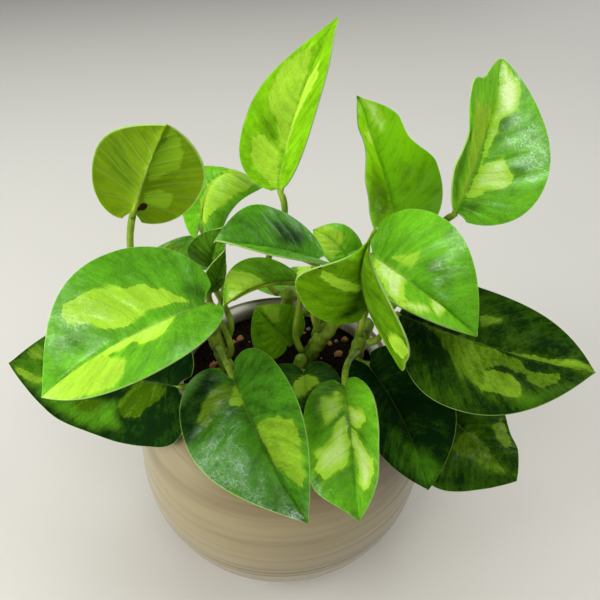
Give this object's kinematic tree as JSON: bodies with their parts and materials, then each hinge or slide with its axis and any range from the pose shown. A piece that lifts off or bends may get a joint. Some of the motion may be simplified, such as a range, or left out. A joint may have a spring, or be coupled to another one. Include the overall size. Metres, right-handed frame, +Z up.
{
  "type": "potted pothos plant in a round stoneware jar",
  "caption": "Two-tone heart-leaved pothos growing in soil in a ball-shaped stoneware jar, for a table or shelf.",
  "frame": {"origin": "centre of the jar's flat foot, on the surface that it stands on", "axes": "+Z up; the side that the picture shows faces -Y, and +X is to its right"},
  "size_m": [0.211, 0.1495, 0.2003],
  "materials": {
    "stoneware": "satin",
    "soil": "matte",
    "stem": "satin",
    "leaf": "gloss"
  },
  "bodies": {
    "root": {"jar": "stoneware", "soil": "soil", "stem_left": "stem", "stem_back": "stem", "stem_middle": "stem", "stem_right": "stem", "stem_front": "stem", "leaf_01_round_left": "leaf", "leaf_02_back_left": "leaf", "leaf_03_tall": "leaf", "leaf_04_upright": "leaf", "leaf_05_upright_right": "leaf", "leaf_06_arched_right": "leaf", "leaf_07_dark_centre": "leaf", "leaf_08_pale_back": "leaf", "leaf_09_folded": "leaf", "leaf_10_small_left": "leaf", "leaf_11_sliver_left": "leaf", "leaf_12_centre": "leaf", "leaf_13_rear": "leaf", "leaf_14_small_olive": "leaf", "leaf_15_large_left": "leaf", "leaf_16_lower_left": "leaf", "leaf_17_front_left": "leaf", "leaf_18_front": "leaf", "leaf_19_dark_front": "leaf", "leaf_20_dark_right": "leaf", "leaf_21_large_right": "leaf", "leaf_22_lower_right": "leaf", "leaf_23_rear_left": "leaf", "leaf_24_rear_right": "leaf"}
  },
  "joints": []
}
